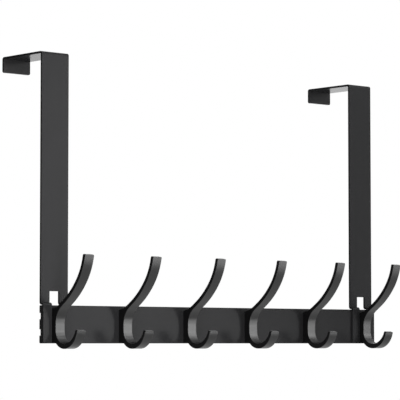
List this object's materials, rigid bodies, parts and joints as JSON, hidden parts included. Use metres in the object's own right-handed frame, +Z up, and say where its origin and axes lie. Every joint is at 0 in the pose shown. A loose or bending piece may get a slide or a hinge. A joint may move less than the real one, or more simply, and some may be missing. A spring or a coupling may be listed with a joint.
{
  "type": "over door hook rack",
  "caption": "Over-door hook rack: a flat black rail of evenly spaced double hooks, hung from two folded straps that reach over the top of a door.",
  "frame": {"origin": "midway between the two straps, on the plane of the door's front face and level with the door's top edge", "axes": "+X along the rail to the right as seen from the room, -Y out of the door towards the room, +Z up"},
  "size_m": [0.332, 0.0888, 0.2121],
  "materials": {
    "rail_coat": "satin black powder coat",
    "strap_coat": "satin black powder coat",
    "hook_coat": "satin black powder coat",
    "screw_black": "black oxide"
  },
  "bodies": {
    "root": {"hook_1": "hook_coat", "hook_1_screw_lower": "screw_black", "hook_1_screw_upper": "screw_black", "hook_2": "hook_coat", "hook_2_screw_lower": "screw_black", "hook_2_screw_upper": "screw_black", "hook_3": "hook_coat", "hook_3_screw_lower": "screw_black", "hook_3_screw_upper": "screw_black", "hook_4": "hook_coat", "hook_4_screw_lower": "screw_black", "hook_4_screw_upper": "screw_black", "hook_5": "hook_coat", "hook_5_screw_lower": "screw_black", "hook_5_screw_upper": "screw_black", "hook_6": "hook_coat", "hook_6_screw_lower": "screw_black", "hook_6_screw_upper": "screw_black", "rail": "rail_coat", "strap_left": "strap_coat", "strap_right": "strap_coat"}
  },
  "joints": []
}
